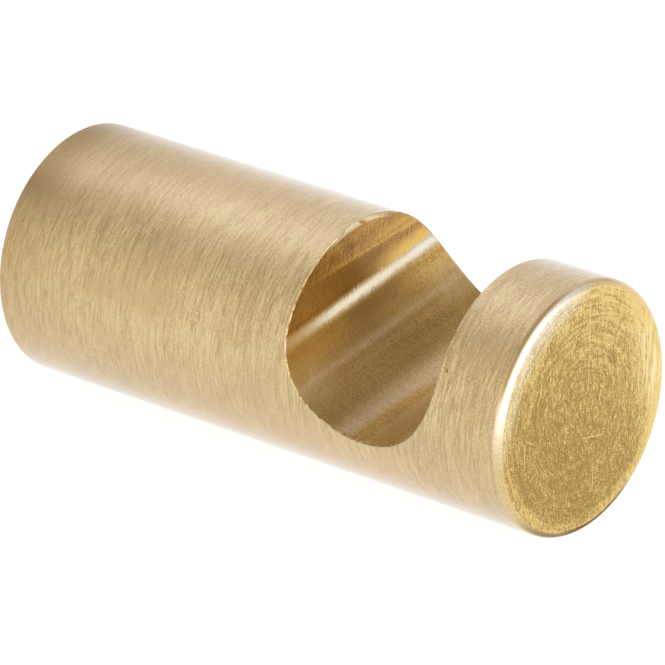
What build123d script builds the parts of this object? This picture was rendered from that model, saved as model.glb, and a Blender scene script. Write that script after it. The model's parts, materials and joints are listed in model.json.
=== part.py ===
"""Robe hook, turned and milled from one length of round brass bar.

The bar stands straight out from the wall. A round-bottomed slot is milled across its top near the
free end, and the solid left in front of the slot is the tip that keeps a robe's loop from slipping
off. A tapped blind hole in the wall face screws on to a stud in the wall.

Frame, in millimetres: the origin is the centre of the wall face, +Y points into the wall, the bar
runs along -Y to its tip, and +Z is up, out of the slot's mouth.
"""

import os
from math import radians, tan

from build123d import *

# Bar
BAR_DIAMETER = 20.0
BAR_LENGTH = 50.0
TIP_ROUNDING = 0.7
WALL_EDGE_BREAK = 0.25

# Slot for the loop. Its bottom is a half circle as wide as the slot.
SLOT_WIDTH = 14.5
SLOT_DEPTH = 11.5
SLOT_EDGE_BREAK = 0.15
TIP_THICKNESS = 6.5

# Tapped hole. Its wall stands at the root of the thread.
THREAD_DIAMETER = 6.0
HOLE_DEPTH = 16.0
DRILL_POINT_ANGLE = 118.0
COUNTERSINK_DIAMETER = 7.0
COUNTERSINK_ANGLE = 90.0

# What follows from the sizes above
BAR_RADIUS = BAR_DIAMETER / 2
HOLE_RADIUS = THREAD_DIAMETER / 2
MOUTH_RADIUS = COUNTERSINK_DIAMETER / 2
SLOT_RADIUS = SLOT_WIDTH / 2
SLOT_CENTRE_Y = -(BAR_LENGTH - TIP_THICKNESS - SLOT_RADIUS)
SLOT_CENTRE_Z = BAR_RADIUS - SLOT_DEPTH + SLOT_RADIUS

# A half section's first coordinate is the distance below the bar's axis and its second is Y, so the
# seam of what is turned runs along the underside, clear of the slot.
HALF_SECTION = Plane(origin=(0, 0, 0), x_dir=(0, 0, -1), z_dir=(1, 0, 0))


def turned(outline):
    """The solid that a closed half section sweeps round the bar's axis."""
    return revolve(HALF_SECTION * make_face(outline), Axis.Y)


def bar():
    """The turned bar: a flat wall face with a broken edge, and a flat tip with a rounded one."""
    tip_edge = (BAR_RADIUS, -BAR_LENGTH + TIP_ROUNDING)
    tip_face = (BAR_RADIUS - TIP_ROUNDING, -BAR_LENGTH)
    side = Polyline(
        (0, 0),
        (BAR_RADIUS - WALL_EDGE_BREAK, 0),
        (BAR_RADIUS, -WALL_EDGE_BREAK),
        tip_edge,
    )
    rounding = TangentArc(tip_edge, tip_face, tangent=(0, -1))
    end = Polyline(tip_face, (0, -BAR_LENGTH), (0, 0))
    return turned(side + rounding + end)


def tapped_hole():
    """The blind hole: a countersunk mouth, a straight wall and the cone that a drill leaves."""
    countersink_depth = (MOUTH_RADIUS - HOLE_RADIUS) / tan(radians(COUNTERSINK_ANGLE / 2))
    point_depth = HOLE_RADIUS / tan(radians(DRILL_POINT_ANGLE / 2))
    outline = Polyline(
        (0, 0),
        (MOUTH_RADIUS, 0),
        (HOLE_RADIUS, -countersink_depth),
        (HOLE_RADIUS, -HOLE_DEPTH),
        (0, -HOLE_DEPTH - point_depth),
        close=True,
    )
    return turned(outline)


def loop_slot():
    """The milled slot: a half-round bottom under upright sides, right across the bar."""
    height = BAR_DIAMETER
    bottom = Pos(SLOT_CENTRE_Y, SLOT_CENTRE_Z) * Circle(SLOT_RADIUS)
    sides = Pos(SLOT_CENTRE_Y, SLOT_CENTRE_Z + height / 2) * Rectangle(SLOT_WIDTH, height)
    return extrude(Plane.YZ * (bottom + sides), BAR_DIAMETER, both=True)


def hook_body():
    """The finished hook, with the slot's rim broken where it meets the outside of the bar."""
    drilled = bar() - tapped_hole()
    slot = loop_slot()
    milled = drilled - slot
    rim = new_edges(drilled, slot, combined=milled)
    return fillet(rim, SLOT_EDGE_BREAK)


os.makedirs("parts", exist_ok=True)
export_step(hook_body(), "parts/hook_body.step")
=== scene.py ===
"""Looks of the robe hook: brushed brass, the tapped thread, a white studio and the photograph's view."""

import json
from collections import namedtuple
from math import cos, pi, radians, sin, tan

import bmesh
import bpy
from mathutils import Matrix, Vector


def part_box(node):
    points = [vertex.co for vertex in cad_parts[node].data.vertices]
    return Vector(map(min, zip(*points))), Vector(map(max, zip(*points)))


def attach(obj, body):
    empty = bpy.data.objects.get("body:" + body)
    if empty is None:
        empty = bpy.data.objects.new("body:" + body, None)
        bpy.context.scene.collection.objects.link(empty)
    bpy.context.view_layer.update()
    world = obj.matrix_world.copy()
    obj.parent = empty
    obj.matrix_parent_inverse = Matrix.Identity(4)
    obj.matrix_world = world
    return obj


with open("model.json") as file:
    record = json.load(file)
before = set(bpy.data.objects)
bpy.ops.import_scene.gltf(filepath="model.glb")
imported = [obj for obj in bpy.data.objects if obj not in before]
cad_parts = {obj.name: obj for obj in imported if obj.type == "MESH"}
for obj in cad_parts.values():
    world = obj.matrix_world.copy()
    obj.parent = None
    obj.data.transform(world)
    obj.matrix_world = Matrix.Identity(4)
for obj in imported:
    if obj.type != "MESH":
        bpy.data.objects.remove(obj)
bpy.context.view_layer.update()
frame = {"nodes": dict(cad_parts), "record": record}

MM = 0.001
METRES_TO_MM = 1000.0

# The hook's own sizes in millimetres, from the frame, and the rounding of its tip's edge
low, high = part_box("hook_body")
BAR_LENGTH = (high.y - low.y) / MM
BAR_RADIUS = (high.x - low.x) / MM / 2
FLOOR_Z = low.z
MOUNTS = {mount["name"]: mount for mount in frame["record"]["mounts"]}
OPENINGS = {opening["name"]: opening["box_m"] for opening in frame["record"]["physics"]["openings"]}
SLOT_FRONT_Y, SLOT_BACK_Y = (corner[1] / MM for corner in OPENINGS["slot_mouth"])
SLOT_MIDDLE_Y = (SLOT_FRONT_Y + SLOT_BACK_Y) / 2
TIP_Y = -BAR_LENGTH
TIP_ROUNDING = 0.7

# Thread in millimetres: right-hand, of metric pitch, height and flanks, its root on the hole's wall
THREAD_ROOT_RADIUS = MOUNTS["fixing_thread"]["dims"]["r_mm"]
THREAD_PITCH = 1.0
THREAD_HEIGHT_SHARE = 0.541
THREAD_CREST_RADIUS = THREAD_ROOT_RADIUS - THREAD_HEIGHT_SHARE * THREAD_PITCH
THREAD_CREST_HALF = THREAD_PITCH / 16
THREAD_SUNK = 0.02
THREAD_START_Y = -0.5
THREAD_LENGTH = 14.0
THREAD_FLANK_ANGLE = 30.0
THREAD_STEPS_PER_TURN = 48

# View, in degrees and millimetres, and the photograph's frame in pixels
VIEW_AZIMUTH = -46.033
VIEW_ELEVATION = 30.943
VIEW_ROLL = -8.153
VIEW_DISTANCE = 503.4
VIEW_TARGET = Vector((0.534, -25.0, -0.907))
FOCAL_LENGTH_PIXELS = 6578.0
FRAME_PIXELS = 665.0
SENSOR_WIDTH = 36.0
CLIP_START = 0.01

# Studio: the floor's half width in metres, and its glow as seen
FLOOR_HALF_WIDTH = 2.0
FLOOR_GLOW = 0.90

# Soft panels round the hook: azimuth from +Y towards +X, elevation and spread in degrees, and level
ROOM_LEVEL = 0.25
PANELS = (
    (262.0, 12.0, 30.0, 0.80),
    (215.0, 8.0, 18.0, 3.40),
    (57.0, 8.0, 18.0, 0.76),
    (22.0, 48.0, 13.0, 1.90),
    (10.0, 55.0, 40.0, 0.12),
    (66.0, 44.0, 9.0, 0.95),
    (110.0, 20.0, 30.0, 0.15),
    (178.0, 34.0, 14.0, 1.40),
    (112.0, 16.0, 12.0, 0.55),
)

# Lamps: name, place and aim in millimetres, width, height and radiance
LAMPS = (
    ("key_softbox", (70, -550, 100), (0, -50, 0), 520, 210, 4.0),
    ("line_lamp", (308, -345, 243), (0, -33, 3), 60, 20, 6.6),
)

# Metal and lacquer: depth of the marks in metres, the share of it that the lacquer follows, and their gloss
MARK_DEPTH = 3.0e-5
LACQUER_FOLLOWS = 0.35
LACQUER_ROUGHNESS = 0.2
LACQUER_IOR = 1.7
ANISOTROPY = 0.8

# Directions on the hook, by which brush marks draw out the gloss
ALONG_BAR = (0.0, 1.0, 0.0)
ALONG_SLOT = (1.0, 0.0, 0.0)
ACROSS_TIP = (1.0, 0.0, 0.2)
FROM_AXIS = (1.0, 0.0, 1.0)

# Detail of the noise, in finer layers beyond the first
PLAIN = 0.0
SOFT = 1.0
FINE = 2.0
FINEST = 3.0
NOISE_ROUGHNESS = 0.6
NOISE_MEAN = 0.5

# Lines in the metal: direction across them, changes a millimetre across and along them, start of the noise
Lines = namedtuple("Lines", "direction across along start")
NOISE_SHIFT = (1.0, 1.7, 2.3)
SIDE_BRIGHT_STROKES = Lines((0.07, 1.0, 0.05), 7.0, 0.62, 1.0)
SIDE_DARK_STROKES = Lines((-0.10, 1.0, 0.07), 6.5, 0.7, 2.0)
SIDE_LONG_LINES = Lines((0.02, 1.0, -0.04), 2.2, 0.16, 3.0)
SLOT_DOWN_SCRATCHES = Lines((1.0, 0.04, -0.06), 7.0, 0.6, 5.0)
SLOT_SLANTED_SCRATCHES = Lines((1.0, 0.0, -0.55), 6.0, 0.8, 8.0)
REFLECTION_EDGE_HAIRS = Lines((1.0, 0.0, -0.3), 8.0, 1.0, 4.0)
BRIGHT_LINE_HAIRS = Lines((1.0, 0.0, -0.25), 10.0, 1.2, 7.0)
TIP_STREAKS = Lines((0.98, 0.0, -0.21), 5.0, 0.35, 9.0)
TAP_LINES = Lines((0.0, 1.0, 0.0), 9.0, 0.8, 6.0)

# A fade has a start, an end and maybe a level at each. A zone is a product of fades along named measures.

# Regions of the hook
INSIDE_BAR = ("radius", BAR_RADIUS - 0.02, BAR_RADIUS - 0.12)
BEHIND_TIP = ("y", SLOT_FRONT_Y - 0.8, SLOT_FRONT_Y - 0.4)
BEFORE_WALL = ("y", SLOT_BACK_Y + 0.8, SLOT_BACK_Y + 0.4)
IN_SLOT = (INSIDE_BAR, BEHIND_TIP, BEFORE_WALL)
AT_WALL = (INSIDE_BAR, ("y", SLOT_BACK_Y + 0.4, SLOT_BACK_Y + 0.8))
ON_RIM = (BEHIND_TIP, BEFORE_WALL, ("radius", 9.82, 9.90), ("radius", 9.99, 9.965))
ON_EDGE = (("y", TIP_Y + TIP_ROUNDING, TIP_Y + 0.8 * TIP_ROUNDING),)
ON_TIP = (("y", TIP_Y + 0.08, TIP_Y + 0.005),)

# Side: shares of its marks, their mean, and how far they are drawn out from it
STROKE_FADE = (0.52, 0.76)
STROKE_SHARE = 0.38
LONG_LINE_SHARE = 0.45
SIDE_SPECKLE_SCALE = 6.0
SIDE_SPECKLE_SHARE = 0.60
SIDE_MEAN = 0.525
SIDE_CONTRAST = (
    ("z", -6.0, 5.0, 0.55, 1.10),
    ("z", 8.0, 9.8, 1.0, 1.3),
    ("y", SLOT_MIDDLE_Y, SLOT_FRONT_Y, 1.0, 1.4),
    ("y", -13.0, -3.0, 1.0, 0.8),
)
DARKER_AT_TIP = (("y", SLOT_MIDDLE_Y, SLOT_FRONT_Y, 0.0, 0.05),)
SIDE_TONE_FADE = (0.22, 0.78)
SIDE_PATCH_SCALE = (0.16, 0.11, 0.16)
SIDE_PATCH_FADE = (0.45, 0.68, 0.0, 0.55)
SIDE_ROUGHNESS = (0.3, 0.7, 0.50, 0.60)

# Side's end at the wall, painted shade: darker over a long and a short stretch, with a thin painted dark line
# at its edge
END_SHORT = (("y", -5.0, -0.8),)
END_SHORT_SHARE = 0.55
END_LONG = (("y", -18.0, -2.0),)
END_LONG_SHARE = 0.47
END_ROUND_BAR = (("z", 7.2, 9.0, 0.42, 1.0), ("z", -2.0, 3.0, 0.3, 1.0))
END_STRENGTH = 0.75
END_LACQUER = 0.4
END_SHADE_LINE = (("y", -0.35, -0.15), ("z", 1.0, 5.0), ("x", -1.0, -4.0, 0.0, 0.6))

# Tip's rounded edge: a painted highlight, pale up and to the left by shares of x and z, and painted shade,
# dark by the side and underneath
HIGHLIGHT_SHARES = (-0.057, 0.082)
HIGHLIGHT_FADE = (0.52, 0.84)
EDGE_TOP_HIGHLIGHT_FADE = (7.0, 9.0)
EDGE_GRAIN_SCALE = 9.0
EDGE_GRAIN_FADE = (0.40, 0.66)
EDGE_GRAIN_STRENGTH = (0.0, 1.0, 0.55, 0.25)
EDGE_SHADE_LINE_ZONE = (("across", 0.36, 0.58), ("z", 4.0, 6.5, 0.0, 0.9), ("x", 3.0, -2.0, 0.3, 1.0))
EDGE_SHADE_SHARES = (-0.020, -0.098)
EDGE_SHADE_FADE = (0.74, 0.95, 0.0, 0.85)
EDGE_SHADE_ZONE = (("across", 0.005, 0.04), ("across", 0.65, 0.20))
EDGE_SPECKLE_SCALE = 7.0
EDGE_SPECKLE_HEIGHT = 0.3
EDGE_ROUGHNESS = 0.45
EDGE_LACQUER = (0.0, 1.0, 1.0, 0.55)
EDGE_DARK_LACQUER = 0.2

# Painted shade under the tip's edge, in millimetres behind the tip: a thin line, and a wider band to its left
UNDER_LINE = (("behind", 0.003, 0.010), ("behind", 0.30, 0.15), ("z", -8.2, -9.2))
UNDER_BAND = (("behind", 0.01, 0.08), ("behind", 0.60, 0.20))
UNDER_LEFT_SHARES = (-0.05, -0.075)
UNDER_LEFT_FADE = (0.76, 0.90, 0.0, 0.75)

# Slot's finish: scales of its marks, and their shares on its floor and on its walls
CUTTER_SCALE = (0.03, 1.6, 1.6)
SLOT_CLOUD_SCALE = 7.0
SLOT_PATCH_SCALE = 0.9
FLOOR_SHARES = {"down": 0.20, "cutter": 0.25, "cloud": 0.55}
WALL_SHARES = {"down": 0.14, "slanted": 0.16, "cutter": 0.22, "cloud": 0.34, "patches": 0.14}
FLOOR_FADE = (0.38, 0.62)
WALL_FADE = (0.39, 0.61)
WALL_START_FADE = (3.0, 5.5)
SLOT_ROUGHNESS = (0.38, 0.62, 0.38, 0.46)
SLOT_MARK_HEIGHT = 0.4

# Slot's lacquer, thinner up its walls and on its back
SLOT_LACQUER = (2.0, 6.0, 1.0, 0.5)
BACK_LACQUER = (1.2, 3.0, 0.52, 0.30)
BACK_LACQUER_ZONE = (("y", SLOT_MIDDLE_Y + 1.0, SLOT_MIDDLE_Y + 3.5),)

# Edge of a painted reflection on the slot's back wall, which sinks by its slope as x grows and is ragged with
# hairs
REFLECTION_EDGE_HEIGHT = 7.24
REFLECTION_EDGE_SLOPE = -0.077
REFLECTION_EDGE_RAGGED = 0.8

# Zones of the slot, painted light: dark ones are painted shade, and golden, warm and pale ones painted
# reflections. Over the reflection's edge is a height in millimetres.
SLOT_BACK = (("y", SLOT_MIDDLE_Y, SLOT_MIDDLE_Y + 1.0),)
DARK_OVER_LINE = (
    ("over_crease", 0.10, -0.15),
    ("z", 4.2, 4.8),
    ("z", 7.4, 5.8, 0.8, 1.0),
    ("x", 6.5, 0.0, 0.0, 0.75),
    ("x", -6.5, 0.0, 0.1, 1.0),
)
DARK_UNDER_LINE = (
    ("z", 0.8, 3.0),
    ("z", 4.4, 3.8),
    ("x", 9.0, 2.0, 0.0, 0.88),
    ("x", -6.0, 1.0, 0.0, 1.0),
)
DARK_FLOOR = (
    ("z", 3.0, 1.4),
    ("y", SLOT_MIDDLE_Y + 1.0, SLOT_MIDDLE_Y + 3.5),
    ("x", -4.0, 2.0, 0.22, 0.45),
)
GOLD_OVER_LINE = (("z", 4.55, 5.05), ("z", 6.2, 5.0), ("x", 0.0, 6.0, 0.0, 0.7))
GOLD_ROUND_LINE = (("z", 3.3, 4.0), ("z", 5.2, 4.5), ("x", 3.0, -6.0, 0.12, 0.6))
GOLD_OVER_REFLECTION_EDGE = (("over_crease", 0.0, 0.2), ("over_crease", 1.9, 0.3), ("x", 0.5, 5.0, 0.0, 0.25))
GOLD_AT_REFLECTION_EDGE = (("from_crease", 0.20, 0.0), ("x", -7.0, 2.0, 0.05, 0.5))
WARM_LEFT_FLOOR = (("z", 0.3, 2.0), ("z", 4.2, 3.4), ("x", -1.0, -8.0, 0.0, 0.6))
WARM_LEFT_WALL = (("z", 4.6, 5.4), ("z", 8.0, 6.0), ("x", -1.0, -6.0, 0.0, 0.45))
PALE_FRONT = (("y", SLOT_MIDDLE_Y + 0.6, SLOT_MIDDLE_Y - 0.6),)
PALE_FRONT_SHARE = 0.32
PALE_FAR_FRONT = (("y", SLOT_MIDDLE_Y - 2.0, SLOT_FRONT_Y),)
PALE_FAR_FRONT_SHARE = 0.28
PALE_ENDS = (
    ("from_middle", 5.0, 8.5, 0.0, 0.75),
    ("z", -1.0, 0.8),
    ("z", 3.0, 1.8),
    ("hairs", 0.3, 0.7, 0.4, 1.35),
)

# Bright line at the foot of the slot's back wall: smoother metal, its shading normal turned up across the
# slot so that it reflects the lamps, painted pale as a highlight, with hairs
BRIGHT_LINE_NORMAL = (0.0, -0.775, 0.632)
BRIGHT_LINE_HEIGHT = 4.30
BRIGHT_LINE_HALF = 0.58
BRIGHT_LINE_RAGGED = 0.26
BRIGHT_LINE_REACH = BRIGHT_LINE_HALF + BRIGHT_LINE_RAGGED
BRIGHT_LINE_CORE = 0.24
BRIGHT_LINE_HAIR_FADE = (0.25, 0.75)
BRIGHT_LINE_ZONE = (("x", -9.8, -2.5, 0.36, 1.0), ("y", SLOT_MIDDLE_Y, SLOT_MIDDLE_Y + 0.1))
BRIGHT_LINE_ROUGHNESS = 0.275
BRIGHT_LINE_HIGHLIGHT_FADE = (5.0, 7.5)

# Slot's rim, broken by hand: facets along its top, nicks, and chips just inside it; the facets and chips are
# painted pale as highlights, and the rim darker as painted shade
FACET_SCALE = 1.3
FACET_FADE = (0.28, 0.50)
RIM_TOP = (("z", 7.5, 9.3), ("from_middle", 3.6, 1.4, 0.4, 1.0))
NICK_SCALE = 3.5
NICK_FADE = (0.38, 0.60)
RIM_ROUGHNESS = 0.5
RIM_LACQUER = (0.2, 0.8)
CHIP_FADE = (0.28, 0.48)
CHIP_ZONE = (("radius", 9.52, 9.66), ("x", -3.0, -1.6), ("x", 5.0, 2.5, 0.0, 0.65))

# Small pits: centre and radius in millimetres, with their dark core as a share of the radius
PITS = (
    ((2.96, -29.75, 2.53), 0.17),
    ((2.66, -29.78, 2.46), 0.13),
    ((3.28, -29.73, 2.60), 0.12),
    ((-7.94, -44.18, 6.08), 0.16),
    ((-1.54, -23.44, 9.88), 0.14),
)
PIT_CORE = 0.3
PIT_STRENGTH = 0.8

# Scratches on the tip, real marks painted bright as glints, as (x, z) of both ends in millimetres, and how
# far their ends fade out and in
TIP_SCRATCHES = (
    ((2.27, 8.36), (0.72, 1.20)),
    ((3.69, 8.20), (3.26, 5.57)),
    ((0.31, -4.93), (-0.17, -7.06)),
    ((-0.58, -2.21), (1.94, -3.19)),
    ((-7.01, 0.72), (-7.34, -1.19)),
    ((-6.77, 1.02), (-5.94, 0.29)),
    ((8.11, 3.01), (7.27, -0.68)),
    ((8.80, 1.13), (8.16, -2.06)),
    ((6.77, 0.04), (6.30, -2.09)),
)
SCRATCH_WIDTH = 0.06
SCRATCH_FADE_OUT = 0.2
SCRATCH_FADE_IN = 0.3
SCRATCH_STRENGTH = 0.8

# Strokes on the tip: way across in degrees from +X to +Z, changes a millimetre across and along, and share
TIP_STROKES = (
    (168.0, 13.0, 2.0, 1.5),
    (35.0, 13.0, 3.0, 0.9),
    (110.0, 13.0, 3.0, 0.9),
)

# Other marks on the tip and their shares: turned rings, grains and clouds
RING_TURN_SCALE = 4.0
RING_SCALE = 5.0
RING_STRENGTH = (-5.0, 5.0, 0.8, 1.25)
RING_SHARE = 0.9
TIP_GRAIN_SCALE = 12.0
TIP_GRAIN_SHARE = 1.9
TIP_CLOUD_SCALE = 0.35
TIP_CLOUD_SHARE = 0.5

# Brightness of the tip, as painted light: its level, its shares of x and z, and what its rim, right side and
# outer part add
TIP_LEVEL = 0.17
TIP_X_SHARE = 0.026
TIP_Z_SHARE = 0.028
TIP_RIM = (("radius", 8.2, 9.15), ("z", 2.0, -5.0, 0.2, 0.55))
TIP_RIGHT = (("x", 5.0, 9.0),)
TIP_RIGHT_SHARE = 0.44
TIP_OUTER = (("radius", 3.0, 7.5),)
TIP_OUTER_SHARE = 0.15
# Painted glints on the tip: small glints, and streaks near its right side
GLINT_SCALE = 6.5
GLINT_FADE = (0.66, 0.80, 0.0, 0.6)
STREAK_FADE = (0.45, 0.65)
STREAK_ZONE = (("x", 6.0, 8.5), ("z", -6.0, -2.0), ("z", 6.5, 3.5))
# Painted highlight at the tip's rim, up and to the left, palest at the top
TIP_HIGHLIGHT_FADE = (7.6, 9.3, 0.0, 0.75)
TIP_HIGHLIGHT_MARKS = (-0.35, 0.35, 0.5, 1.0)
TIP_TOP_HIGHLIGHT_FADE = (5.5, 8.5)
TIP_ROUGHNESS = (0.48, 0.40)
TIP_MARK_HEIGHT = 0.25
TIP_LACQUER = (0.5, 1.0)

# Wall face and thread
WALL_RING_SCALE = 5.0
WALL_RING_SHARE = 0.75
WALL_CLOUD_SCALE = 0.5
WALL_CLOUD_SHARE = 0.25
WALL_MARK_HEIGHT = 0.5
WALL_ROUGHNESS = (0.35, 0.65, 0.36, 0.46)
THREAD_ROUGHNESS = (0.35, 0.65, 0.26, 0.40)
TURNED_FADE = (0.35, 0.65)

# Painted sheen of the lacquered metal at grazing angles, by Layer Weight
FACING_BLEND = 0.5
GRAZING_FADE = (0.6, 1.0, 0.0, 0.48)


def colour(red, green, blue):
    """A linear colour for a socket."""
    return (red, green, blue, 1.0)


# Colours of the lacquered brass
SIDE_DARK = colour(0.555, 0.37, 0.145)
SIDE_LIGHT = colour(0.80, 0.625, 0.315)
SIDE_WARM = colour(0.68, 0.455, 0.22)
# Painted shade at the side's end by the wall, and its thin dark line
SIDE_END_SHADE = colour(0.345, 0.21, 0.075)
SIDE_END_SHADE_LINE = colour(0.26, 0.155, 0.055)
EDGE_GOLD = colour(0.80, 0.59, 0.25)
# Painted highlight on the tip's rounded edge, palest at the top; the palest also pales the tip's rim and the
# slot's bright line
EDGE_HIGHLIGHT = colour(0.92, 0.80, 0.56)
PALEST_HIGHLIGHT = colour(0.92, 0.85, 0.72)
EDGE_GRAIN = colour(0.46, 0.29, 0.085)
# Painted shade on the tip's rounded edge: a line across it, and its underside
EDGE_SHADE_LINE = colour(0.40, 0.255, 0.085)
EDGE_SHADE = colour(0.36, 0.22, 0.07)
# Painted shade under the tip's edge
EDGE_UNDER_SHADE = colour(0.23, 0.13, 0.04)
# The slot's rim: darker as painted shade, nicked, with painted highlights on its facets and chips
RIM_DARK = colour(0.26, 0.155, 0.06)
RIM_MIDDLE = colour(0.60, 0.42, 0.18)
RIM_HIGHLIGHT = colour(0.90, 0.76, 0.48)
PIT_DARK = colour(0.16, 0.08, 0.02)
SLOT_DARK = colour(0.38, 0.21, 0.04)
SLOT_LIGHT = colour(0.66, 0.42, 0.135)
# The slot's walls, darker than its floor as painted shade
SLOT_WALL_DARK = colour(0.24, 0.11, 0.012)
SLOT_WALL_LIGHT = colour(0.58, 0.33, 0.08)
# Painted shade and painted reflections in the slot
SLOT_PAINTED_SHADE = colour(0.22, 0.10, 0.005)
SLOT_GOLD_REFLECTION = colour(0.90, 0.60, 0.15)
SLOT_WARM_REFLECTION = colour(0.68, 0.41, 0.11)
SLOT_PALE_REFLECTION = colour(0.76, 0.54, 0.24)
# Painted highlight of the slot's bright line
BRIGHT_LINE_HIGHLIGHT = colour(0.87, 0.745, 0.54)
TIP_DARK = colour(0.36, 0.195, 0.004)
TIP_LIGHT = colour(0.86, 0.625, 0.19)
# Painted glints on the tip's marks
TIP_BRIGHT = colour(0.96, 0.82, 0.46)
# Painted highlight at the tip's rim
TIP_HIGHLIGHT = colour(0.97, 0.84, 0.50)
# Painted sheen at grazing angles
GRAZING = colour(0.95, 0.94, 0.91)
WALL_DARK = colour(0.52, 0.35, 0.12)
WALL_LIGHT = colour(0.70, 0.50, 0.20)
THREAD_DARK = colour(0.55, 0.37, 0.12)
THREAD_LIGHT = colour(0.74, 0.53, 0.20)

# Colours of the studio
FLOOR_GREY = colour(0.2, 0.2, 0.2)
WHITE = colour(1.0, 1.0, 1.0)

# Mix node: where the first input and the output of each kind stand
MIX_SOCKETS = {"FLOAT": (2, 0), "VECTOR": (4, 1), "RGBA": (6, 2)}

Look = namedtuple("Look", "colour roughness height lacquer grain")


class Tree:
    """Short calls that add nodes to one node tree and link them."""

    def __init__(self, tree):
        self.tree = tree
        tree.nodes.clear()

    def feed(self, socket, value):
        if isinstance(value, bpy.types.NodeSocket):
            self.tree.links.new(value, socket)
        else:
            socket.default_value = value

    def node(self, kind, inputs=None, **settings):
        made = self.tree.nodes.new(kind)
        for name, value in settings.items():
            setattr(made, name, value)
        for name, value in (inputs or {}).items():
            self.feed(made.inputs[name], value)
        return made

    def math(self, operation, *values):
        made = self.node("ShaderNodeMath", operation=operation)
        for socket, value in zip(made.inputs, values):
            self.feed(socket, value)
        return made.outputs[0]

    def vector(self, operation, *values):
        made = self.node("ShaderNodeVectorMath", operation=operation)
        for socket, value in zip(made.inputs, values):
            self.feed(socket, value)
        return made.outputs["Value" if operation in ("DOT_PRODUCT", "LENGTH") else "Vector"]

    def scaled(self, vector, scale):
        made = self.node("ShaderNodeVectorMath", {"Scale": scale}, operation="SCALE")
        self.feed(made.inputs[0], vector)
        return made.outputs["Vector"]

    def split(self, vector):
        return self.node("ShaderNodeSeparateXYZ", {"Vector": vector}).outputs

    def combine(self, x, y, z):
        return self.node("ShaderNodeCombineXYZ", {"X": x, "Y": y, "Z": z}).outputs[0]

    def ramp(self, value, start, end, low=0.0, high=1.0):
        made = self.node(
            "ShaderNodeMapRange",
            {"Value": value, "From Min": start, "From Max": end, "To Min": low, "To Max": high},
            interpolation_type="SMOOTHSTEP",
        )
        return made.outputs["Result"]

    def blend(self, kind, factor, a, b):
        first, out = MIX_SOCKETS[kind]
        made = self.node("ShaderNodeMix", data_type=kind)
        self.feed(made.inputs[0], factor)
        self.feed(made.inputs[first], a)
        self.feed(made.inputs[first + 1], b)
        return made.outputs[out]

    def mix(self, factor, a, b):
        return self.blend("RGBA", factor, a, b)

    def mix_vector(self, factor, a, b):
        return self.blend("VECTOR", factor, a, b)

    def mix_value(self, factor, a, b):
        return self.blend("FLOAT", factor, a, b)

    def noise(self, place, scale=1.0, detail=FINE):
        inputs = {"Vector": place, "Scale": scale, "Detail": detail, "Roughness": NOISE_ROUGHNESS}
        return self.node("ShaderNodeTexNoise", inputs).outputs["Fac"]

    def weighted(self, *shares):
        """Sum of values, each with its share."""
        total = 0.0
        for value, share in shares:
            total = self.math("MULTIPLY_ADD", value, share, total)
        return total

    def product(self, *values):
        total = values[0]
        for value in values[1:]:
            total = self.math("MULTIPLY", total, value)
        return total

    def largest(self, *values):
        total = values[0]
        for value in values[1:]:
            total = self.math("MAXIMUM", total, value)
        return total

    def zone(self, place, fades, *masks):
        """How far a place is in a zone and in the masks that limit it."""
        ramps = [self.ramp(place[measure], *fade) for measure, *fade in fades]
        return self.product(*masks, *ramps)


def blend_looks(tree, mask, below, above):
    """One look over another, as far as a mask goes."""
    return Look(
        tree.mix(mask, below.colour, above.colour),
        tree.mix_value(mask, below.roughness, above.roughness),
        tree.mix_value(mask, below.height, above.height),
        tree.mix_value(mask, below.lacquer, above.lacquer),
        tree.mix_vector(mask, below.grain, above.grain),
    )


def lines(tree, point, kind, detail=SOFT):
    """Noise drawn out into lines that lie square to a direction."""
    step = tuple(axis * kind.across for axis in kind.direction)
    spread = tree.scaled(step, tree.vector("DOT_PRODUCT", point, kind.direction))
    place = tree.vector("ADD", tree.scaled(point, kind.along), spread)
    place = tree.vector("ADD", place, tuple(kind.start * shift for shift in NOISE_SHIFT))
    return tree.noise(place, detail=detail)


def measures(tree, point):
    """A point's coordinates and distances in millimetres, and its way across the tip's rounding."""
    x, y, z = tree.split(point)
    return {
        "x": x,
        "y": y,
        "z": z,
        "radius": tree.vector("LENGTH", tree.combine(x, 0.0, z)),
        "from_middle": tree.math("ABSOLUTE", x),
        "behind": tree.math("ADD", y, BAR_LENGTH),
        "across": tree.weighted((y, 1.0 / TIP_ROUNDING), (BAR_LENGTH / TIP_ROUNDING, 1.0)),
    }


def leaning(tree, place, shares, fade):
    """A fade along a slanted way over the tip, by shares of x and z."""
    return tree.ramp(tree.weighted((place["x"], shares[0]), (place["z"], shares[1])), *fade)


def side_marks(tree, point, place):
    """The side's finish, from dark to light: short crossing strokes, long lines and speckle."""
    bright = tree.ramp(lines(tree, point, SIDE_BRIGHT_STROKES), *STROKE_FADE)
    dark = tree.ramp(lines(tree, point, SIDE_DARK_STROKES), *STROKE_FADE)
    drawn = lines(tree, point, SIDE_LONG_LINES)
    speckle = tree.noise(point, scale=SIDE_SPECKLE_SCALE, detail=SOFT)
    strokes = tree.weighted(
        (bright, STROKE_SHARE),
        (dark, -STROKE_SHARE),
        (drawn, LONG_LINE_SHARE),
        (speckle, SIDE_SPECKLE_SHARE),
    )
    contrast = tree.zone(place, SIDE_CONTRAST)
    return tree.math("MULTIPLY_ADD", tree.math("SUBTRACT", strokes, SIDE_MEAN), contrast, SIDE_MEAN)


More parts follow.
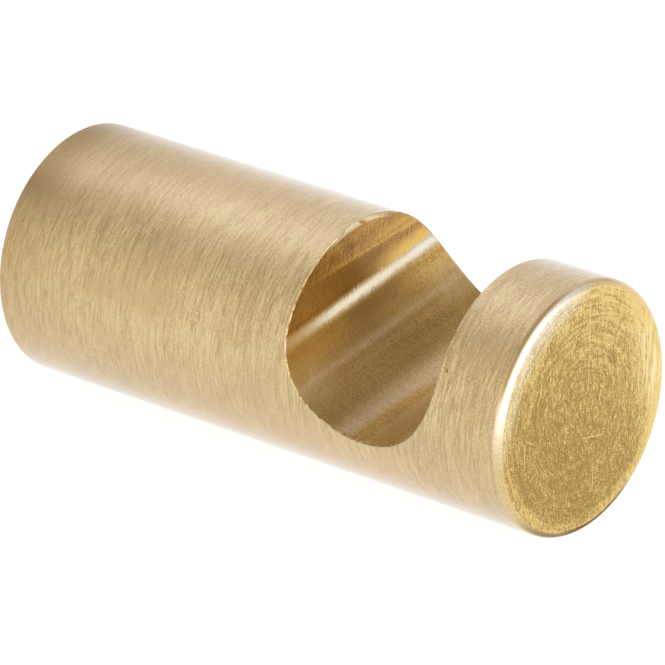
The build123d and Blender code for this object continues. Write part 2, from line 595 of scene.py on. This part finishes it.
def side_look(tree, point, place):
    """The side, brushed round the bar on patches of a warmer tone, and darker at its end by the wall as
    painted shade.
    """
    marks = side_marks(tree, point, place)
    level = tree.math("SUBTRACT", marks, tree.zone(place, DARKER_AT_TIP))
    tone = tree.mix(tree.ramp(level, *SIDE_TONE_FADE), SIDE_DARK, SIDE_LIGHT)
    patches = tree.noise(tree.vector("MULTIPLY", point, SIDE_PATCH_SCALE))
    tone = tree.mix(tree.ramp(patches, *SIDE_PATCH_FADE), tone, SIDE_WARM)
    # Painted shade: darker towards the wall end, with a thin dark line at the edge
    end = tree.weighted(
        (tree.zone(place, END_SHORT), END_SHORT_SHARE),
        (tree.zone(place, END_LONG), END_LONG_SHARE),
    )
    end = tree.zone(place, END_ROUND_BAR, end)
    tone = tree.mix(tree.math("MULTIPLY", end, END_STRENGTH), tone, SIDE_END_SHADE)
    tone = tree.mix(tree.zone(place, END_SHADE_LINE), tone, SIDE_END_SHADE_LINE)
    lacquer = tree.mix_value(end, 1.0, END_LACQUER)
    return Look(tone, tree.ramp(marks, *SIDE_ROUGHNESS), marks, lacquer, ALONG_BAR)


def edge_look(tree, point, place):
    """The tip's rounded edge: gold, with a painted highlight pale at the top left, a painted shade line where
    it meets the side, and painted shade underneath.
    """
    # Painted highlight: the edge pales towards the top left, on the side that faces the light
    painted_light = tree.mix(tree.ramp(place["z"], *EDGE_TOP_HIGHLIGHT_FADE), EDGE_HIGHLIGHT, PALEST_HIGHLIGHT)
    rubbed = leaning(tree, place, HIGHLIGHT_SHARES, HIGHLIGHT_FADE)
    tone = tree.mix(rubbed, EDGE_GOLD, painted_light)
    grains = tree.ramp(tree.noise(point, scale=EDGE_GRAIN_SCALE, detail=SOFT), *EDGE_GRAIN_FADE)
    tone = tree.mix(tree.product(grains, tree.ramp(rubbed, *EDGE_GRAIN_STRENGTH)), tone, EDGE_GRAIN)
    # Painted shade: a dark line across the rounding
    line = tree.zone(place, EDGE_SHADE_LINE_ZONE)
    tone = tree.mix(line, tone, EDGE_SHADE_LINE)
    # Painted shade underneath the edge
    underside = leaning(tree, place, EDGE_SHADE_SHARES, EDGE_SHADE_FADE)
    shade = tree.zone(place, EDGE_SHADE_ZONE, underside)
    tone = tree.mix(shade, tone, EDGE_SHADE)
    speckle = tree.noise(point, scale=EDGE_SPECKLE_SCALE, detail=SOFT)
    height = tree.math("MULTIPLY", speckle, EDGE_SPECKLE_HEIGHT)
    lacquer = tree.mix_value(tree.largest(line, shade), tree.ramp(rubbed, *EDGE_LACQUER), EDGE_DARK_LACQUER)
    return Look(tone, EDGE_ROUGHNESS, height, lacquer, ALONG_BAR)


def under_edge_shade(tree, place):
    """How far the tip's edge is darkened underneath by painted shade: a thin line at the bottom and a wider
    band to its left.
    """
    left = leaning(tree, place, UNDER_LEFT_SHARES, UNDER_LEFT_FADE)
    return tree.largest(tree.zone(place, UNDER_LINE), tree.product(tree.zone(place, UNDER_BAND), left))


def slot_marks(tree, point):
    """Marks of the slot's finish: cutter lines along it, fine scratches down it, and mottling."""
    return {
        "down": lines(tree, point, SLOT_DOWN_SCRATCHES),
        "slanted": lines(tree, point, SLOT_SLANTED_SCRATCHES),
        "cutter": tree.noise(tree.vector("MULTIPLY", point, CUTTER_SCALE), detail=FINEST),
        "cloud": tree.noise(point, scale=SLOT_CLOUD_SCALE, detail=SOFT),
        "patches": tree.noise(point, scale=SLOT_PATCH_SCALE, detail=FINE),
    }


def slot_measures(tree, point, place):
    """A point's measures, with the hairs of the slot's finish and the height over the ragged edge of a
    painted reflection.
    """
    hairs = lines(tree, point, REFLECTION_EDGE_HAIRS)
    over_crease = tree.weighted(
        (place["z"], 1.0),
        (place["x"], -REFLECTION_EDGE_SLOPE),
        (-REFLECTION_EDGE_HEIGHT, 1.0),
        (hairs, REFLECTION_EDGE_RAGGED),
        (-NOISE_MEAN, REFLECTION_EDGE_RAGGED),
    )
    return {
        **place,
        "hairs": hairs,
        "over_crease": over_crease,
        "from_crease": tree.math("ABSOLUTE", over_crease),
    }


def slot_zones(tree, point, place, tone):
    """Broad zones of the slot: darker ones as painted shade, golden, warm and pale ones as painted
    reflections, and chips along its rim.
    """
    place = slot_measures(tree, point, place)
    back = tree.zone(place, SLOT_BACK)
    # Painted shade over and under the bright line at the back
    dark = tree.largest(tree.zone(place, DARK_OVER_LINE), tree.zone(place, DARK_UNDER_LINE))
    tone = tree.mix(tree.product(back, dark), tone, SLOT_PAINTED_SHADE)
    # Painted reflections: golden, then warm, then pale
    golden = (GOLD_OVER_LINE, GOLD_ROUND_LINE, GOLD_OVER_REFLECTION_EDGE, GOLD_AT_REFLECTION_EDGE)
    gold = tree.largest(*(tree.zone(place, zone) for zone in golden))
    tone = tree.mix(tree.product(back, gold), tone, SLOT_GOLD_REFLECTION)
    warm = tree.largest(tree.zone(place, WARM_LEFT_FLOOR), tree.zone(place, WARM_LEFT_WALL))
    tone = tree.mix(tree.product(back, warm), tone, SLOT_WARM_REFLECTION)
    front = tree.weighted(
        (tree.zone(place, PALE_FRONT), PALE_FRONT_SHARE),
        (tree.zone(place, PALE_FAR_FRONT), PALE_FAR_FRONT_SHARE),
    )
    ends = tree.product(back, tree.zone(place, PALE_ENDS))
    tone = tree.mix(tree.largest(front, ends), tone, SLOT_PALE_REFLECTION)
    # Painted shade on the floor at the back
    tone = tree.mix(tree.zone(place, DARK_FLOOR, back), tone, SLOT_PAINTED_SHADE)
    # Chips inside the rim, painted pale as highlights
    facets = tree.ramp(tree.noise(point, scale=FACET_SCALE, detail=FINE), *CHIP_FADE)
    return tree.mix(tree.zone(place, CHIP_ZONE, back, facets), tone, RIM_HIGHLIGHT)


def slot_look(tree, point, place):
    """The slot, milled smooth, darker up its walls as painted shade, with lines along it and fine scratches
    down its curve.
    """
    marks = slot_marks(tree, point)
    on_floor = tree.weighted(*((marks[name], share) for name, share in FLOOR_SHARES.items()))
    on_wall = tree.weighted(*((marks[name], share) for name, share in WALL_SHARES.items()))
    floor_tone = tree.mix(tree.ramp(on_floor, *FLOOR_FADE), SLOT_DARK, SLOT_LIGHT)
    # Painted shade: the walls take darker tones than the floor
    wall_tone = tree.mix(tree.ramp(on_wall, *WALL_FADE), SLOT_WALL_DARK, SLOT_WALL_LIGHT)
    tone = tree.mix(tree.ramp(place["z"], *WALL_START_FADE), floor_tone, wall_tone)
    tone = slot_zones(tree, point, place, tone)
    normal = tree.node("ShaderNodeNewGeometry").outputs["Normal"]
    along_curve = tree.vector("CROSS_PRODUCT", normal, ALONG_SLOT)
    height = tree.math("MULTIPLY", marks["down"], SLOT_MARK_HEIGHT)
    lacquer = tree.mix_value(
        tree.zone(place, BACK_LACQUER_ZONE),
        tree.ramp(place["z"], *SLOT_LACQUER),
        tree.ramp(place["z"], *BACK_LACQUER),
    )
    return Look(tone, tree.ramp(on_floor, *SLOT_ROUGHNESS), height, lacquer, along_curve)


def bright_line(tree, point, place):
    """How far a point is in the bright line, ragged, at the foot of the slot's back wall."""
    hairs = tree.ramp(lines(tree, point, BRIGHT_LINE_HAIRS), *BRIGHT_LINE_HAIR_FADE)
    away = tree.math("ABSOLUTE", tree.math("SUBTRACT", place["z"], BRIGHT_LINE_HEIGHT))
    ragged = tree.math("MULTIPLY_ADD", hairs, BRIGHT_LINE_RAGGED, away)
    return tree.zone(place, BRIGHT_LINE_ZONE, tree.ramp(ragged, BRIGHT_LINE_REACH, BRIGHT_LINE_CORE))


def segment(tree, place, first, last):
    """A thin straight scratch between two points of the tip's face."""
    length = (Vector(last) - Vector(first)).length
    along_x, along_z = (Vector(last) - Vector(first)) / length
    from_x = tree.math("SUBTRACT", place["x"], first[0])
    from_z = tree.math("SUBTRACT", place["z"], first[1])
    along = tree.weighted((from_x, along_x), (from_z, along_z))
    across = tree.math("ABSOLUTE", tree.weighted((from_x, -along_z), (from_z, along_x)))
    started = tree.ramp(along, -SCRATCH_FADE_OUT, SCRATCH_FADE_IN)
    not_ended = tree.ramp(along, length + SCRATCH_FADE_OUT, length - SCRATCH_FADE_IN)
    within = tree.product(started, not_ended)
    return tree.product(within, tree.ramp(across, SCRATCH_WIDTH, 0.0))


def tip_strokes(tree, point):
    """Short strokes on the tip, every way, most of them upright."""
    total = 0.0
    for angle, across, along, share in TIP_STROKES:
        direction = (cos(radians(angle)), 0.0, sin(radians(angle)))
        strokes = lines(tree, point, Lines(direction, across, along, angle), detail=PLAIN)
        total = tree.weighted((total, 1.0), (strokes, share), (-NOISE_MEAN, share))
    return total


def centred_noise(tree, place, **settings):
    """Noise about zero."""
    return tree.math("SUBTRACT", tree.noise(place, **settings), NOISE_MEAN)


def tip_marks(tree, point, place):
    """The tip's finish, from dark to light: strokes, turned rings, grains and clouds."""
    outwards = tree.vector("NORMALIZE", tree.vector("MULTIPLY", point, FROM_AXIS))
    turn = tree.scaled(outwards, RING_TURN_SCALE)
    ring = tree.combine(0.0, tree.math("MULTIPLY", place["radius"], RING_SCALE), 0.0)
    rings = centred_noise(tree, tree.vector("ADD", turn, ring), detail=PLAIN)
    return tree.weighted(
        (tip_strokes(tree, point), 1.0),
        (tree.product(rings, tree.ramp(place["z"], *RING_STRENGTH)), RING_SHARE),
        (centred_noise(tree, point, scale=TIP_GRAIN_SCALE, detail=PLAIN), TIP_GRAIN_SHARE),
        (centred_noise(tree, point, scale=TIP_CLOUD_SCALE), TIP_CLOUD_SHARE),
    )


def tip_glints(tree, point, place):
    """Bright marks on the tip, painted as glints: long scratches, small glints and streaks near its right
    side.
    """
    scratches = tree.largest(*(segment(tree, place, first, last) for first, last in TIP_SCRATCHES))
    glints = tree.ramp(tree.noise(point, scale=GLINT_SCALE, detail=PLAIN), *GLINT_FADE)
    streaks = tree.ramp(lines(tree, point, TIP_STREAKS), *STREAK_FADE)
    return tree.largest(
        tree.math("MULTIPLY", scratches, SCRATCH_STRENGTH),
        glints,
        tree.zone(place, STREAK_ZONE, streaks),
    )


def tip_look(tree, point, place):
    """The tip, rubbed every way, with a few long scratches, brightened as painted light towards its top,
    right and rim, and painted pale as a highlight at the top left.
    """
    marks = tip_marks(tree, point, place)
    # Painted light: the tip brightens to the top, the right and its rim
    painted_light = tree.weighted(
        (place["x"], TIP_X_SHARE),
        (place["z"], TIP_Z_SHARE),
        (tree.zone(place, TIP_RIM), 1.0),
        (tree.zone(place, TIP_RIGHT), TIP_RIGHT_SHARE),
        (tree.zone(place, TIP_OUTER), TIP_OUTER_SHARE),
    )
    bright = tree.weighted((marks, 1.0), (painted_light, 1.0), (TIP_LEVEL, 1.0))
    tone = tree.mix(bright, TIP_DARK, TIP_LIGHT)
    # Painted glints
    tone = tree.mix(tip_glints(tree, point, place), tone, TIP_BRIGHT)
    # Painted highlight at the rim, towards the top left
    rubbed = leaning(tree, place, HIGHLIGHT_SHARES, HIGHLIGHT_FADE)
    at_rim = tree.ramp(place["radius"], *TIP_HIGHLIGHT_FADE)
    pale = tree.product(at_rim, rubbed, tree.ramp(marks, *TIP_HIGHLIGHT_MARKS))
    tone = tree.mix(pale, tone, tree.mix(tree.ramp(place["z"], *TIP_TOP_HIGHLIGHT_FADE), TIP_HIGHLIGHT, PALEST_HIGHLIGHT))
    roughness = tree.mix_value(bright, *TIP_ROUGHNESS)
    height = tree.math("MULTIPLY", bright, TIP_MARK_HEIGHT)
    return Look(tone, roughness, height, tree.mix_value(pale, *TIP_LACQUER), ACROSS_TIP)


def wall_look(tree, point, place):
    """The wall face, left as turned: fine rings about the hole."""
    ring = tree.combine(tree.math("MULTIPLY", place["radius"], WALL_RING_SCALE), 0.0, 0.0)
    rings = tree.noise(ring, detail=FINEST)
    cloud = tree.noise(point, scale=WALL_CLOUD_SCALE, detail=FINEST)
    marks = tree.weighted((rings, WALL_RING_SHARE), (cloud, WALL_CLOUD_SHARE))
    tone = tree.mix(tree.ramp(marks, *TURNED_FADE), WALL_DARK, WALL_LIGHT)
    height = tree.math("MULTIPLY", marks, WALL_MARK_HEIGHT)
    outwards = tree.vector("NORMALIZE", tree.vector("MULTIPLY", point, FROM_AXIS))
    return Look(tone, tree.ramp(marks, *WALL_ROUGHNESS), height, 1.0, outwards)


def rim_look(tree, point, place):
    """The slot's rim, broken by hand: dull, darker as painted shade and nicked, with a few facets along its
    top painted pale as highlights.
    """
    facets = tree.noise(point, scale=FACET_SCALE, detail=FINE)
    # Painted highlight on facets along the top
    pale = tree.product(tree.ramp(facets, *FACET_FADE), tree.zone(place, RIM_TOP))
    nicks = tree.ramp(tree.noise(point, scale=NICK_SCALE, detail=FINE), *NICK_FADE)
    tone = tree.mix(pale, tree.mix(nicks, RIM_DARK, RIM_MIDDLE), RIM_HIGHLIGHT)
    return Look(tone, RIM_ROUGHNESS, facets, tree.mix_value(pale, *RIM_LACQUER), ALONG_BAR)


def pits(tree, point):
    """A few small dark pits."""
    spots = []
    for centre, size in PITS:
        away = tree.vector("LENGTH", tree.vector("SUBTRACT", point, centre))
        spots.append(tree.ramp(away, size, PIT_CORE * size, 0.0, PIT_STRENGTH))
    return tree.largest(*spots)


def hook_look(tree, point, place, in_slot):
    """The looks of the hook's regions, one over another."""
    look = blend_looks(tree, in_slot, side_look(tree, point, place), slot_look(tree, point, place))
    look = blend_looks(tree, tree.zone(place, AT_WALL), look, wall_look(tree, point, place))
    look = blend_looks(tree, tree.zone(place, ON_RIM), look, rim_look(tree, point, place))
    look = blend_looks(tree, tree.zone(place, ON_EDGE), look, edge_look(tree, point, place))
    return blend_looks(tree, tree.zone(place, ON_TIP), look, tip_look(tree, point, place))


def sheen(tree, in_slot):
    """How far the metal's colour pales as a painted sheen where it is seen at a grazing angle, outside the
    slot.
    """
    facing = tree.node("ShaderNodeLayerWeight", {"Blend": FACING_BLEND}).outputs["Facing"]
    return tree.product(tree.ramp(facing, *GRAZING_FADE), tree.math("SUBTRACT", 1.0, in_slot))


def new_material(name):
    """A material with an empty node tree, and a point of its surface in millimetres."""
    material = bpy.data.materials.new(name)
    material.use_nodes = True
    tree = Tree(material.node_tree)
    point = tree.scaled(tree.node("ShaderNodeTexCoord").outputs["Object"], METRES_TO_MM)
    return material, tree, point


def brass():
    """Lacquered brass: brushed on the side, smooth in the slot, rubbed on the tip, turned at the wall."""
    material, tree, point = new_material("brushed_brass")
    place = measures(tree, point)
    in_slot = tree.zone(place, IN_SLOT)
    look = hook_look(tree, point, place, in_slot)
    line = tree.product(in_slot, bright_line(tree, point, place))
    under = under_edge_shade(tree, place)

    plain = tree.node("ShaderNodeNewGeometry").outputs["Normal"]
    marked = tree.node("ShaderNodeBump", {"Distance": MARK_DEPTH, "Height": look.height}).outputs[0]
    metal = tree.mix_vector(line, marked, BRIGHT_LINE_NORMAL)
    lacquer = tree.mix_vector(line, tree.mix_vector(LACQUER_FOLLOWS, plain, marked), BRIGHT_LINE_NORMAL)

    # Painted highlight: the bright line is pale, palest at its right end
    bright_line_tone = tree.mix(tree.ramp(place["x"], *BRIGHT_LINE_HIGHLIGHT_FADE), BRIGHT_LINE_HIGHLIGHT, PALEST_HIGHLIGHT)
    tone = tree.mix(pits(tree, point), tree.mix(line, look.colour, bright_line_tone), PIT_DARK)
    # Painted shade under the tip's edge, over the painted sheen
    tone = tree.mix(under, tree.mix(sheen(tree, in_slot), tone, GRAZING), EDGE_UNDER_SHADE)
    shader = tree.node(
        "ShaderNodeBsdfPrincipled",
        {
            "Base Color": tone,
            "Roughness": tree.mix_value(line, look.roughness, BRIGHT_LINE_ROUGHNESS),
            "Normal": tree.vector("NORMALIZE", metal),
            "Tangent": look.grain,
            "Metallic": 1.0,
            "Anisotropic": ANISOTROPY,
            "Coat Weight": tree.mix_value(under, look.lacquer, 0.0),
            "Coat Roughness": LACQUER_ROUGHNESS,
            "Coat IOR": LACQUER_IOR,
            "Coat Normal": tree.vector("NORMALIZE", lacquer),
        },
    )
    tree.node("ShaderNodeOutputMaterial", {"Surface": shader.outputs[0]})
    return material


def thread_brass():
    """Bare brass, cut bright by the tap, with fine lines round the thread."""
    material, tree, point = new_material("tapped_brass")
    marks = lines(tree, point, TAP_LINES)
    shader = tree.node(
        "ShaderNodeBsdfPrincipled",
        {
            "Base Color": tree.mix(tree.ramp(marks, *TURNED_FADE), THREAD_DARK, THREAD_LIGHT),
            "Roughness": tree.ramp(marks, *THREAD_ROUGHNESS),
            "Normal": tree.node("ShaderNodeBump", {"Distance": MARK_DEPTH, "Height": marks}).outputs[0],
            "Metallic": 1.0,
        },
    )
    tree.node("ShaderNodeOutputMaterial", {"Surface": shader.outputs[0]})
    return material


def thread_section(turned, y):
    """Corners of the ridge's section at one step of its turn, in metres: root, crest, crest, root."""
    mouth = THREAD_ROOT_RADIUS + y - THREAD_START_Y
    runout = THREAD_ROOT_RADIUS - (y - THREAD_START_Y + THREAD_LENGTH)
    crest = min(max(THREAD_CREST_RADIUS, mouth, runout), THREAD_ROOT_RADIUS)
    root = THREAD_ROOT_RADIUS + THREAD_SUNK
    root_half = THREAD_CREST_HALF + (root - THREAD_CREST_RADIUS) * tan(radians(THREAD_FLANK_ANGLE))
    corners = (
        (root, -root_half),
        (crest, -THREAD_CREST_HALF),
        (crest, THREAD_CREST_HALF),
        (root, root_half),
    )
    return [Vector((r * sin(turned), y + dy, r * cos(turned))) * MM for r, dy in corners]


def add_mesh(name, made, material):
    """An object in the scene from a finished bmesh."""
    mesh = bpy.data.meshes.new(name)
    made.to_mesh(mesh)
    made.free()
    mesh.materials.append(material)
    piece = bpy.data.objects.new(name, mesh)
    bpy.context.scene.collection.objects.link(piece)
    return piece


def add_thread():
    """The thread's ridge as one closed strip that winds down the hole."""
    made = bmesh.new()
    steps = int(THREAD_LENGTH / THREAD_PITCH * THREAD_STEPS_PER_TURN)
    rows = []
    for step in range(steps + 1):
        turns = step / THREAD_STEPS_PER_TURN
        corners = thread_section(-2 * pi * turns, THREAD_START_Y - THREAD_PITCH * turns)
        rows.append([made.verts.new(corner) for corner in corners])
    for row, following in zip(rows, rows[1:]):
        for corner in range(len(row)):
            after = (corner + 1) % len(row)
            made.faces.new((row[corner], row[after], following[after], following[corner]))
    made.faces.new(rows[0])
    made.faces.new(rows[-1])
    bmesh.ops.recalc_face_normals(made, faces=made.faces)
    ridge = add_mesh("thread_ridge", made, thread_brass())
    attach(ridge, "root")


def floor_material():
    """White floor, bright to the camera and in the metal, that still takes the hook's soft shadow."""
    material = bpy.data.materials.new("floor_white")
    material.use_nodes = True
    tree = Tree(material.node_tree)
    path = tree.node("ShaderNodeLightPath").outputs
    seen = tree.largest(path["Is Camera Ray"], path["Is Glossy Ray"], path["Is Transmission Ray"])
    glow = tree.node("ShaderNodeEmission", {"Strength": tree.math("MULTIPLY", seen, FLOOR_GLOW)})
    matt = tree.node("ShaderNodeBsdfDiffuse", {"Color": FLOOR_GREY})
    both = tree.node("ShaderNodeAddShader")
    tree.feed(both.inputs[0], glow.outputs[0])
    tree.feed(both.inputs[1], matt.outputs[0])
    tree.node("ShaderNodeOutputMaterial", {"Surface": both.outputs[0]})
    return material


def add_floor():
    """The wide floor that the hook lies on."""
    made = bmesh.new()
    bmesh.ops.create_grid(made, x_segments=1, y_segments=1, size=FLOOR_HALF_WIDTH)
    floor = add_mesh("floor", made, floor_material())
    floor.location.z = FLOOR_Z


def set_world():
    """A dim room with soft pale panels round the hook."""
    world = bpy.data.worlds.new("studio")
    world.use_nodes = True
    tree = Tree(world.node_tree)
    direction = tree.node("ShaderNodeTexCoord").outputs["Generated"]
    level = ROOM_LEVEL
    for azimuth, elevation, spread, strength in PANELS:
        turn, rise = radians(azimuth), radians(elevation)
        middle = (cos(rise) * sin(turn), cos(rise) * cos(turn), sin(rise))
        away = tree.math("SUBTRACT", tree.vector("DOT_PRODUCT", direction, middle), 1.0)
        fade = tree.math("EXPONENT", tree.math("MULTIPLY", away, 1.0 / radians(spread) ** 2))
        level = tree.math("MULTIPLY_ADD", fade, strength, level)
    background = tree.node("ShaderNodeBackground", {"Color": WHITE, "Strength": level})
    tree.node("ShaderNodeOutputWorld", {"Surface": background.outputs[0]})
    bpy.context.scene.world = world


def add_softbox(name, place, aim, width, height, radiance):
    """A rectangular lamp at place, turned to aim, in millimetres, with its radiance as seen in a mirror."""
    lamp = bpy.data.lights.new(name, "AREA")
    lamp.shape = "RECTANGLE"
    lamp.size = width * MM
    lamp.size_y = height * MM
    lamp.energy = radiance * pi * lamp.size * lamp.size_y
    made = bpy.data.objects.new(name, lamp)
    made.location = Vector(place) * MM
    made.rotation_euler = (Vector(place) - Vector(aim)).to_track_quat("Z", "Y").to_euler()
    made.visible_camera = False
    bpy.context.scene.collection.objects.link(made)


def add_camera():
    """The photograph's view."""
    azimuth, elevation, roll = (radians(angle) for angle in (VIEW_AZIMUTH, VIEW_ELEVATION, VIEW_ROLL))
    back = Vector((sin(azimuth) * cos(elevation), -cos(azimuth) * cos(elevation), sin(elevation)))
    level_right = Vector((0, 0, 1)).cross(back).normalized()
    level_up = back.cross(level_right)
    right = level_right * cos(roll) + level_up * sin(roll)
    up = back.cross(right)
    camera = bpy.data.cameras.new("camera")
    camera.sensor_width = SENSOR_WIDTH
    camera.lens = FOCAL_LENGTH_PIXELS * SENSOR_WIDTH / FRAME_PIXELS
    camera.clip_start = CLIP_START
    made = bpy.data.objects.new("camera", camera)
    place = (VIEW_TARGET + back * VIEW_DISTANCE) * MM
    made.matrix_world = Matrix.Translation(place) @ Matrix((right, up, back)).transposed().to_4x4()
    bpy.context.scene.collection.objects.link(made)
    bpy.context.scene.camera = made


hook = frame["nodes"]["hook_body"]
hook.material_slots[0].material = brass()
add_thread()
add_floor()
set_world()
for lamp_settings in LAMPS:
    add_softbox(*lamp_settings)
add_camera()

scene = bpy.context.scene
scene.view_settings.view_transform = "Standard"
